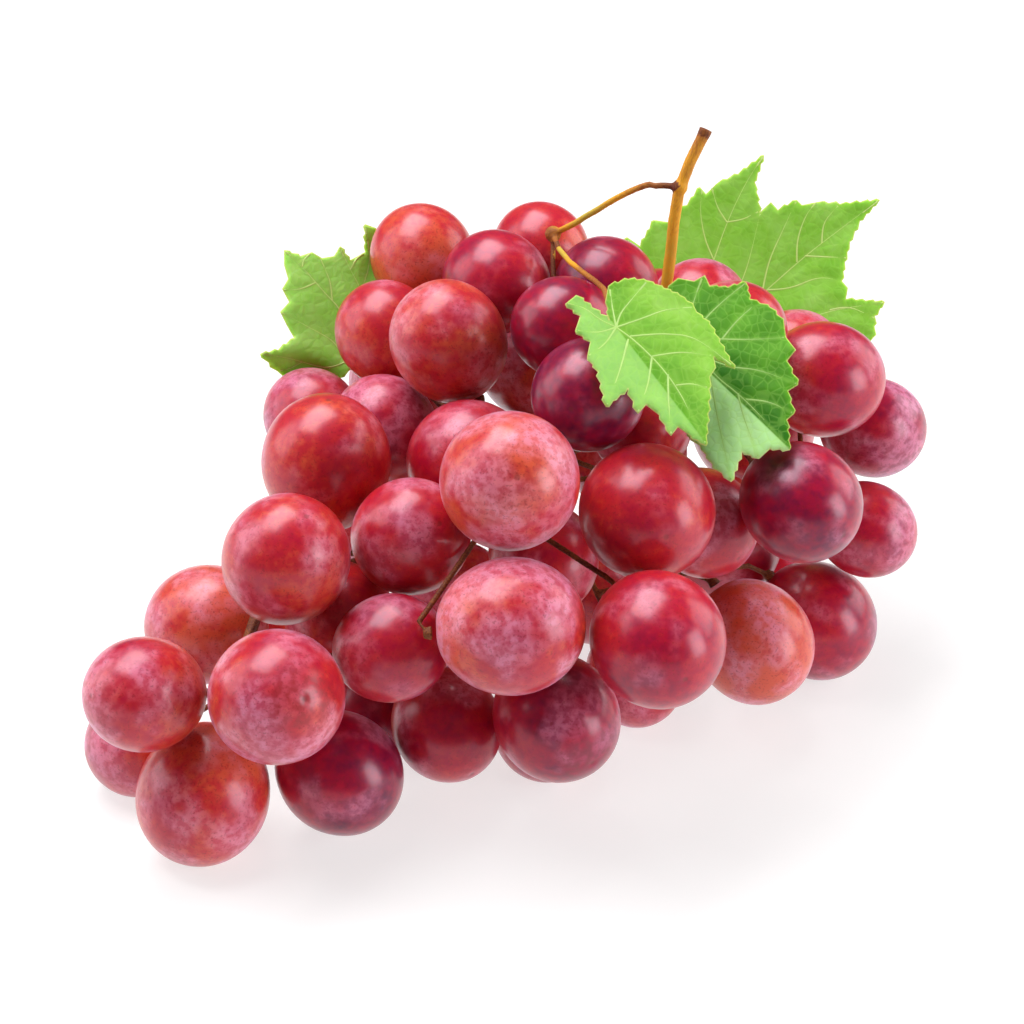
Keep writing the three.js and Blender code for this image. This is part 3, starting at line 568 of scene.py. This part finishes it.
# The leaves: four vine leaves, each a thin blade with coarse pointed teeth and five main ribs
# that fan out from its stalk. Two young folded ones lie in front, two broad ones behind. The
# outlines and ribs are picture points, set at the depth of the leaf's own solid.
LEAVES = {
    "leaf_front_light": {
        "base": (616, 328),
        "edge": (
            (609, 320), (606, 298), (608, 286), (628, 279), (646, 280), (664, 288), (680, 295),
            (694, 306), (697, 312), (710, 324), (735, 369), (714, 357), (716, 368), (710, 377),
            (708, 414), (706, 446), (690, 436), (678, 427), (671, 436), (659, 415), (646, 405),
            (638, 414), (628, 389), (606, 407), (598, 372), (587, 357), (590, 342), (575, 331),
            (580, 316), (565, 304), (576, 295),
        ),
        "ribs": (
            ((616, 328), (636, 342), (664, 370), (684, 400), (705, 443)),
            ((616, 328), (640, 320), (668, 309), (692, 308)),
            ((630, 337), (662, 334), (696, 337), (731, 365)),
            ((652, 357), (682, 352), (711, 356)),
            ((676, 386), (692, 384), (707, 388)),
            ((616, 328), (620, 314), (630, 302), (646, 283)),
            ((616, 328), (612, 306), (610, 290)),
            ((616, 328), (600, 321), (584, 308), (568, 304)),
            ((616, 328), (598, 334), (578, 331)),
            ((616, 328), (605, 345), (589, 356)),
            ((628, 340), (620, 370), (607, 405)),
            ((652, 357), (648, 385), (638, 412)),
            ((668, 375), (668, 404), (671, 434)),
        ),
    },
    "leaf_front_dark": {
        "base": (692, 338),
        "edge": (
            (680, 330), (664, 302), (668, 286), (678, 278), (694, 281), (705, 275), (710, 286),
            (728, 287), (746, 282), (750, 299), (770, 307), (784, 322), (786, 337), (796, 350),
            (787, 361), (798, 385), (788, 391), (794, 414), (787, 420), (790, 450), (770, 449),
            (759, 459), (742, 452), (731, 482), (712, 464), (700, 446), (690, 440), (684, 412),
            (668, 400), (664, 372), (676, 352),
        ),
        "ribs": (
            ((692, 338), (710, 373), (746, 400), (788, 448)),
            ((692, 338), (706, 318), (724, 301), (745, 284)),
            ((692, 338), (722, 340), (756, 340), (784, 338)),
            ((722, 340), (736, 322), (752, 308)),
            ((702, 357), (730, 368), (760, 370), (796, 384)),
            ((692, 338), (690, 312), (702, 279)),
            ((710, 373), (716, 410), (722, 440), (731, 480)),
            ((738, 394), (744, 420), (758, 456)),
            ((746, 400), (770, 402), (792, 413)),
            ((692, 338), (684, 370), (688, 436)),
            ((692, 338), (676, 318), (667, 300)),
        ),
    },
    "leaf_back_left": {
        "base": (346, 362),
        "edge": (
            (348, 372), (334, 384), (318, 382), (306, 390), (286, 379), (277, 371), (260, 354),
            (278, 350), (294, 338), (287, 326), (280, 312), (289, 302), (282, 289), (288, 279),
            (284, 265), (284, 250), (300, 256), (312, 252), (322, 258), (334, 256), (340, 246),
            (350, 260), (356, 257), (365, 252), (365, 224), (376, 228), (382, 254), (384, 280),
            (372, 300), (358, 320), (350, 340), (350, 354),
        ),
        "ribs": (
            ((346, 362), (346, 338), (342, 311), (325, 294), (302, 267), (286, 252)),
            ((346, 362), (330, 368), (315, 365), (287, 357), (263, 354)),
            ((346, 362), (338, 348), (330, 339), (307, 327), (282, 313)),
            ((346, 338), (358, 308), (361, 290), (350, 270), (340, 249)),
            ((361, 290), (370, 262), (366, 228)),
            ((332, 301), (330, 280), (320, 259)),
            ((302, 267), (303, 260), (310, 254)),
            ((315, 283), (300, 290), (284, 290)),
            ((350, 270), (356, 259), (363, 254)),
            ((330, 368), (312, 376), (306, 387)),
            ((302, 361), (290, 368), (280, 370)),
        ),
    },
    "leaf_back_right": {
        "base": (666, 374),
        "edge": (
            (652, 384), (620, 392), (604, 372), (606, 346), (592, 326), (606, 300), (608, 268),
            (627, 237), (640, 246), (654, 220), (668, 222), (687, 205), (700, 187), (706, 194),
            (716, 184), (738, 174), (764, 155), (755, 182), (760, 212), (771, 202), (778, 210),
            (797, 200), (802, 205), (817, 202), (840, 204), (880, 200), (860, 221), (850, 242),
            (845, 262), (842, 281), (848, 288), (846, 299), (885, 302), (875, 316), (874, 337),
            (852, 352), (842, 376), (820, 392), (804, 424), (772, 426), (748, 444), (722, 430),
            (696, 440), (680, 414), (670, 388),
        ),
        "ribs": (
            ((666, 374), (720, 330), (767, 290), (805, 256), (850, 222), (878, 201)),
            ((666, 374), (694, 315), (714, 260), (727, 222), (747, 180), (763, 157)),
            ((666, 374), (650, 318), (640, 280), (628, 240)),
            ((666, 374), (760, 336), (830, 310), (883, 303)),
            ((666, 374), (740, 390), (802, 420)),
            ((714, 260), (705, 240), (700, 212), (702, 190)),
            ((727, 222), (717, 207), (712, 188)),
            ((727, 222), (742, 220), (758, 212)),
            ((720, 330), (742, 282), (750, 258), (760, 214)),
            ((762, 294), (768, 262), (784, 228), (796, 202)),
            ((797, 262), (797, 240), (806, 214), (816, 203)),
            ((822, 243), (823, 222), (838, 206)),
            ((805, 256), (827, 257), (846, 258)),
            ((767, 290), (790, 289), (820, 276), (843, 282)),
            ((830, 310), (850, 306), (874, 318)),
            ((800, 321), (830, 330), (868, 338)),
            ((694, 315), (680, 280), (670, 224)),
            ((650, 318), (630, 300), (608, 290)),
            ((666, 374), (630, 366), (606, 350)),
        ),
    },
}
# The line that each front leaf is folded along, the tone of its two sides (0 deep green, 1 pale),
# how grey its under side is, and how pale its ribs are. The back leaves lie on one side of theirs.
FOLDS = {
    "leaf_front_light": {
        "line": ((616, 328), (705, 443)), "over": 0.4, "under": 0.6, "greyed": 0.3, "ribs": 0.45,
    },
    "leaf_front_dark": {
        "line": ((710, 374), (790, 450)), "over": 0.0, "under": 1.0, "greyed": 0.85, "ribs": 0.2,
    },
    "leaf_back_left": {
        "line": ((260, 400), (380, 400)), "over": 0.6, "under": 0.75, "greyed": 0.0, "ribs": 0.9,
    },
    "leaf_back_right": {
        "line": ((590, 450), (880, 450)), "over": 0.45, "under": 0.7, "greyed": 0.0, "ribs": 0.9,
    },
}
GRID_STEP = 2.2
ROW_STEP = GRID_STEP * math.sqrt(3) / 2
SAW_PITCH = 11.0
SAW_HEIGHT = 0.2
SAW_LEAN = 0.7
BLADE_THICKNESS = 0.45 * MM
EDGE_THINNING = 0.35
QUILT_HEIGHT = 0.35 * MM
QUILT_REACH = 2.2 * MM
SMOOTH_ROUNDS = 20
RIB_BASE = 0.29 * MM
RIB_TIP = 0.235 * MM
NET_SPACING, NET_BREADTH, NET_STRENGTH = 1.8, 0.1, 0.22
RIB_EDGE, RIB_HALO, RIB_STRENGTH = 0.15, 0.6, 0.25
RIM_FROM, RIM_TO, RIM_STRENGTH = 0.08, 0.26, 0.5
LEAF_BLOTCH, LEAF_DRIFT = 6, 0.6
# How wide the painted fold shade is, and how much painted light lifts the tone beyond it.
SHADE_WIDTH, SHADE_LIFT = 9.0, 0.3
EDGE_CLEAR = 0.6 * GRID_STEP
FOLD_ROOM = 3 * MM
FACE_STEP_MM = 0.05
THIN_RIM = 0.8 * MM


def sight(pixels):
    """The lines of sight through picture points, one unit deep along the camera's look."""
    pixels = np.asarray(pixels, float)
    right = (pixels[..., :1] - PICTURE_MIDDLE) / FOCAL_PIXELS
    down = (pixels[..., 1:] - PICTURE_MIDDLE) / FOCAL_PIXELS
    return LOOK + right * RIGHT - down * UP


def toothed(corners, seed):
    """The edge between its main corners: a row of small saw teeth that lean towards each tip."""
    draws = np.random.default_rng(seed)
    pairs = list(zip(corners, corners[1:] + corners[:1]))
    area = sum(ax * by - bx * ay for (ax, ay), (bx, by) in pairs)
    edge = []
    for a, b in pairs:
        a, b = np.array(a, float), np.array(b, float)
        run = b - a
        outward = np.array((run[1], -run[0])) * np.sign(area)
        teeth = max(1, round(np.linalg.norm(run) / SAW_PITCH))
        for tooth in range(teeth):
            edge.append(a + run * tooth / teeth)
            if teeth > 1:
                top = (tooth + SAW_LEAN + draws.uniform(-0.1, 0.1)) / teeth
                high = SAW_HEIGHT * draws.uniform(0.7, 1.2) / teeth
                edge.append(a + run * top + outward * high)
    fine = []
    for a, b in zip(edge, edge[1:] + edge[:1]):
        steps = max(1, round(np.linalg.norm(b - a) / GRID_STEP))
        fine += [a + (b - a) * i / steps for i in range(steps)]
    return np.array(fine)


def inside(points, edge):
    """Which points lie inside a closed edge."""
    count = np.zeros(len(points), int)
    for (ax, ay), (bx, by) in zip(edge, np.roll(edge, -1, axis=0)):
        if by == ay:
            continue
        spans = (ay > points[:, 1]) != (by > points[:, 1])
        cross = ax + (points[:, 1] - ay) * (bx - ax) / (by - ay)
        count += spans & (points[:, 0] < cross)
    return count % 2 == 1


# A vine leaf's blade: thin, half translucent green with a dull wax. Its small veins stand in a
# fine net, and its teeth dry to a pale yellow rim.
DEEP_GREEN, MID_GREEN, LIGHT_GREEN, PALE_GREEN = "#2F6E14", "#5A9626", "#86B944", "#A8CF72"
GREY_GREEN = "#A6D490"
NET_GREEN = "#9CCB5C"
RIM_YELLOW = "#C9C47A"
RIB_DEEP, RIB_GREEN = "#5E9C2C", "#C0E07C"
leaf, tree, shader = new_material("vine_leaf_blade")
ribward = add(tree, "ShaderNodeAttribute", out="Fac", attribute_name="rib_gap")
edgeward = add(tree, "ShaderNodeAttribute", out="Fac", attribute_name="edge_gap")
shade = add(tree, "ShaderNodeAttribute", out="Fac", attribute_name="shade_over")
shade_under = add(tree, "ShaderNodeAttribute", out="Fac", attribute_name="shade_under")
greyed = add(tree, "ShaderNodeAttribute", out="Fac", attribute_name="greyed")
side = add(tree, "ShaderNodeAttribute", out="Fac", attribute_name="fold_side")
chart = add(tree, "ShaderNodeTexCoord", out="UV")
under = add(tree, "ShaderNodeMapRange", {"Value": side, "From Min": -0.15, "From Max": 0.15})
# A folded leaf's upper half is painted darker near the fold and lighter towards its edge: painted
# shade in the fold and painted light at the edge. On the back leaves it darkens the parts nearest
# the line below them.
fold_painted_shade = {"Value": side, "From Min": 0.0, "From Max": -SHADE_WIDTH, "To Max": SHADE_LIFT}
fold_painted_shade = add(tree, "ShaderNodeMapRange", fold_painted_shade)
over = add(tree, MATH, {0: shade, 1: fold_painted_shade}, operation="ADD")
picked = add(tree, "ShaderNodeMix", {0: under, 2: over, 3: shade_under}, data_type="FLOAT")
blotch = add(tree, "ShaderNodeTexNoise", {"Vector": chart, "Scale": 1 / LEAF_BLOTCH, "Detail": 3.0})
uneven = {0: blotch, 1: LEAF_DRIFT, 2: -LEAF_DRIFT / 2}
uneven = add(tree, MATH, uneven, operation="MULTIPLY_ADD")
tone = add(tree, MATH, {0: picked, 1: uneven}, operation="ADD", use_clamp=True)
colours = add(tree, "ShaderNodeValToRGB", {0: tone}, out=None)
GREENS = ((0.0, DEEP_GREEN), (0.35, MID_GREEN), (0.7, LIGHT_GREEN), (1.0, PALE_GREEN))
while len(colours.color_ramp.elements) < len(GREENS):
    colours.color_ramp.elements.new(0.5)
for stop, (at, code) in zip(colours.color_ramp.elements, GREENS):
    stop.position, stop.color = at, linear(code)
grey_share = add(tree, MATH, {0: under, 1: greyed}, operation="MULTIPLY")
greyed_green = {0: grey_share, 6: colours.outputs[0], 7: linear(GREY_GREEN)}
greyed_green = add(tree, "ShaderNodeMix", greyed_green, out=2, data_type="RGBA")
cells = {"Vector": chart, "Scale": 1 / NET_SPACING}
net = add(tree, "ShaderNodeTexVoronoi", cells, out="Distance", feature="DISTANCE_TO_EDGE")
lines = {"Value": net, "From Max": NET_BREADTH, "To Min": NET_STRENGTH, "To Max": 0.0}
lines = add(tree, "ShaderNodeMapRange", lines)
netted = {0: lines, 6: greyed_green, 7: linear(NET_GREEN)}
netted = add(tree, "ShaderNodeMix", netted, out=2, data_type="RGBA")
near_rib = {"Value": ribward, "From Min": RIB_EDGE, "From Max": RIB_HALO}
near_rib |= {"To Min": RIB_STRENGTH, "To Max": 0.0}
ribbed = {0: add(tree, "ShaderNodeMapRange", near_rib), 6: netted, 7: linear(NET_GREEN)}
ribbed = add(tree, "ShaderNodeMix", ribbed, out=2, data_type="RGBA")
rim = {"Value": edgeward, "From Min": RIM_FROM, "From Max": RIM_TO}
rim |= {"To Min": RIM_STRENGTH, "To Max": 0.0}
rimmed = {0: add(tree, "ShaderNodeMapRange", rim), 6: ribbed, 7: linear(RIM_YELLOW)}
rimmed = add(tree, "ShaderNodeMix", rimmed, out=2, data_type="RGBA")
tree.links.new(rimmed, shader.inputs["Base Color"])
shader.inputs["Roughness"].default_value = 0.55
shader.inputs["IOR"].default_value = 1.4
shader.inputs["Specular IOR Level"].default_value = 0.1
shader.inputs["Subsurface Weight"].default_value = 0.6
shader.inputs["Subsurface Radius"].default_value = (0.6, 1.0, 0.25)
shader.inputs["Subsurface Scale"].default_value = 1.5 * MM
pillow = add(tree, "ShaderNodeMapRange", {"Value": net, "From Max": 0.3})
relief = add(tree, "ShaderNodeBump", {"Height": pillow, "Strength": 0.6, "Distance": 0.1 * MM})
tree.links.new(relief, shader.inputs["Normal"])

# A leaf's rib: pale, firm and smooth, a little proud of the blade on both of its faces.
rib_skin, tree, shader = new_material("vine_leaf_rib")
spot = add(tree, "ShaderNodeTexCoord", out="Object")
blotch = add(tree, "ShaderNodeTexNoise", {"Vector": spot, "Scale": 1 / (3 * MM)})
paleness = add(tree, "ShaderNodeAttribute", out="Fac", attribute_name="paleness")
paleness = {0: blotch, 1: 0.4, 2: paleness}
paleness = add(tree, MATH, paleness, operation="MULTIPLY_ADD", use_clamp=True)
ribs_green = {0: paleness, 6: linear(RIB_DEEP), 7: linear(RIB_GREEN)}
ribs_green = add(tree, "ShaderNodeMix", ribs_green, out=2, data_type="RGBA")
tree.links.new(ribs_green, shader.inputs["Base Color"])
shader.inputs["Roughness"].default_value = 0.45

# Ribs follow their lines as round cords that thin towards the edge.
rib_tree = bpy.data.node_groups.new("leaf_ribs", "GeometryNodeTree")
for name, kind in (
    ("Lines", "NodeSocketGeometry"),
    ("Thick", "NodeSocketFloat"),
    ("Thin", "NodeSocketFloat"),
    ("Paleness", "NodeSocketFloat"),
    ("Skin", "NodeSocketMaterial"),
):
    rib_tree.interface.new_socket(name, in_out="INPUT", socket_type=kind)
rib_tree.interface.new_socket("Ribs", in_out="OUTPUT", socket_type="NodeSocketGeometry")
given = rib_tree.nodes.new("NodeGroupInput").outputs
curves = add(rib_tree, "GeometryNodeMeshToCurve", {"Mesh": given["Lines"]})
outward = add(rib_tree, "GeometryNodeInputNamedAttribute", {"Name": "outward"}, data_type="FLOAT")
size = {"Value": outward, "To Min": given["Thick"], "To Max": given["Thin"]}
curves = {"Curve": curves, "Radius": add(rib_tree, "ShaderNodeMapRange", size)}
curves = add(rib_tree, "GeometryNodeSetCurveRadius", curves)
section = add(rib_tree, "GeometryNodeCurvePrimitiveCircle", {"Resolution": 8, "Radius": 1.0})
breadth = add(rib_tree, "GeometryNodeInputRadius")
cords = {"Curve": curves, "Profile Curve": section, "Scale": breadth, "Fill Caps": True}
cords = add(rib_tree, "GeometryNodeCurveToMesh", cords)
cords = {"Geometry": cords, "Name": "paleness", "Value": given["Paleness"]}
cords = add(rib_tree, "GeometryNodeStoreNamedAttribute", cords, data_type="FLOAT")
cords = add(rib_tree, "GeometryNodeRealizeInstances", {"Geometry": cords})
cords = add(rib_tree, "GeometryNodeSetMaterial", {"Geometry": cords, "Material": given["Skin"]})
add(rib_tree, "NodeGroupOutput", {"Ribs": cords}, out=None)

for seed, (name, form) in enumerate(LEAVES.items()):
    edge = toothed(list(form["edge"]), seed)
    ribs = [rounded(rib) for rib in form["ribs"]]
    closed = np.vstack([edge, edge[:1]])
    low, high = edge.min(axis=0), edge.max(axis=0)
    rows = []
    for row, down in enumerate(np.arange(low[1], high[1], ROW_STEP)):
        shift = (row % 2) * GRID_STEP / 2
        rows += [(right + shift, down) for right in np.arange(low[0], high[0], GRID_STEP)]
    rows = np.array(rows)
    rows = rows[inside(rows, edge)]
    rows = rows[away_from(rows, closed)[0] > EDGE_CLEAR]
    points = [Vector(p) for p in np.vstack([edge, rows])]
    made = geometry.delaunay_2d_cdt(points, [], [list(range(len(edge)))], 1, 1e-4)
    flat = np.array([tuple(v) for v in made[0]])
    faces = np.array([tuple(f) for f in made[2]])
    count = len(flat)

    # The depth of each point, from the solid that this leaf stands for.
    solid = merged(nodes[name])
    hit_tree = BVHTree.FromBMesh(solid)
    solid.free()
    ways = sight(flat)
    depth = np.full(count, np.nan)
    for i, way in enumerate(ways):
        way = Vector(way)
        first = hit_tree.ray_cast(EYE, way)[0]
        if first is None:
            continue
        second = hit_tree.ray_cast(first + way.normalized() * FACE_STEP_MM * MM, way)[0]
        thin = second is not None and (second - first).length < FOLD_ROOM
        depth[i] = (((first + second) / 2 if thin else first) - EYE).length / way.length
    known = np.flatnonzero(~np.isnan(depth))
    near_known = kdtree.KDTree(len(known))
    for i in known:
        near_known.insert((*flat[i], 0), i)
    near_known.balance()
    for i in np.flatnonzero(np.isnan(depth)):
        depth[i] = depth[near_known.find((*flat[i], 0))[1]]
    links = np.vstack([faces[:, [0, 1]], faces[:, [1, 2]], faces[:, [2, 0]]])
    links = np.unique(np.sort(links, axis=1), axis=0)
    degree = np.bincount(links.ravel(), minlength=count)
    for _ in range(SMOOTH_ROUNDS):
        total = np.zeros(count)
        np.add.at(total, links[:, 0], depth[links[:, 1]])
        np.add.at(total, links[:, 1], depth[links[:, 0]])
        depth = 0.5 * depth + 0.5 * total / degree

    # The blade swells between its ribs, and each rib lies in a valley.
    rib_gap = np.min([away_from(flat, rib)[0] for rib in ribs], axis=0) * PIXEL_AT_RANGE
    edge_gap = away_from(flat, closed)[0] * PIXEL_AT_RANGE
    depth -= QUILT_HEIGHT * (1 - np.exp(-((rib_gap / QUILT_REACH) ** 2)))
    sheet = np.array(EYE) + depth[:, None] * ways
    start, middle, stop = sheet[faces[:, 0]], sheet[faces[:, 1]], sheet[faces[:, 2]]
    cross = np.cross(middle - start, stop - start)
    if np.sum(cross @ LOOK) > 0:
        faces, cross = faces[:, ::-1], -cross
    normals = np.zeros_like(sheet)
    for corner in range(3):
        np.add.at(normals, faces[:, corner], cross)
    normals /= np.linalg.norm(normals, axis=1)[:, None]
    half_blade = BLADE_THICKNESS / 2 * np.clip(edge_gap / THIN_RIM, EDGE_THINNING, 1)[:, None]
    corners = np.vstack([sheet + normals * half_blade, sheet - normals * half_blade])
    ways_round = {(u, v) for a, b, c in faces.tolist() for u, v in ((a, b), (b, c), (c, a))}
    rims = [(u, v) for u, v in sorted(ways_round) if (v, u) not in ways_round]
    walls = [(v, u, u + count, v + count) for u, v in rims]
    backs = (faces[:, ::-1] + count).tolist()
    mesh = bpy.data.meshes.new(name.replace("leaf", "vine_leaf"))
    mesh.from_pydata(corners.tolist(), [], faces.tolist() + backs + walls)

    fold = FOLDS[name]
    start, stop = np.array(fold["line"], float)
    run = (stop - start) / np.linalg.norm(stop - start)
    fold_side = ((flat - start) @ np.array((-run[1], run[0]))) * PIXEL_AT_RANGE
    for label, values in (
        ("rib_gap", rib_gap / MM),
        ("edge_gap", edge_gap / MM),
        ("fold_side", fold_side / MM),
        ("shade_over", np.full(count, fold["over"])),
        ("shade_under", np.full(count, fold["under"])),
        ("greyed", np.full(count, fold["greyed"])),
    ):
        mesh.attributes.new(label, "FLOAT", "POINT").data.foreach_set("value", np.tile(values, 2))
    chart = mesh.uv_layers.new(name="chart")
    which = np.empty(len(mesh.loops), int)
    mesh.loops.foreach_get("vertex_index", which)
    chart.data.foreach_set("uv", (flat[which % count] * PIXEL_AT_RANGE / MM).ravel())
    mesh.materials.append(leaf)
    mesh.shade_smooth()
    blade = new_object(mesh.name, mesh)
    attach(blade, "root")
    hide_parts(name)

    # The ribs' lines on the sheet, from the stalk out.
    sheet_tree = BVHTree.FromPolygons(sheet.tolist(), faces.tolist())
    rib_points, rib_links, rib_shares = [], [], []
    for line in ribs:
        first = len(rib_points)
        for i, point in enumerate(line):
            hit = sheet_tree.ray_cast(EYE, Vector(sight(point)))[0]
            if hit is None:
                continue
            if len(rib_points) > first:
                rib_links.append((len(rib_points) - 1, len(rib_points)))
            rib_points.append(hit)
            rib_shares.append(i / (len(line) - 1))
    rib_mesh = bpy.data.meshes.new("rib_lines")
    rib_mesh.from_pydata(rib_points, rib_links, [])
    rib_mesh.attributes.new("outward", "FLOAT", "POINT").data.foreach_set("value", rib_shares)
    rib_lines = new_object("rib_lines", rib_mesh)
    grown = rib_lines.modifiers.new("ribs", "NODES")
    grown.node_group = rib_tree
    values = {"Thick": RIB_BASE, "Thin": RIB_TIP, "Paleness": fold["ribs"], "Skin": rib_skin}
    for item in rib_tree.interface.items_tree:
        if item.in_out == "INPUT" and item.name in values:
            grown[item.identifier] = values[item.name]
    rib_lines.update_tag()
    evaluated = rib_lines.evaluated_get(bpy.context.evaluated_depsgraph_get())
    mesh = bpy.data.meshes.new_from_object(evaluated)
    bpy.data.objects.remove(rib_lines)
    mesh.name = name.replace("leaf", "ribs_of_leaf")
    mesh.shade_smooth()
    cords = new_object(mesh.name, mesh)
    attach(cords, "root")
    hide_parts(name)
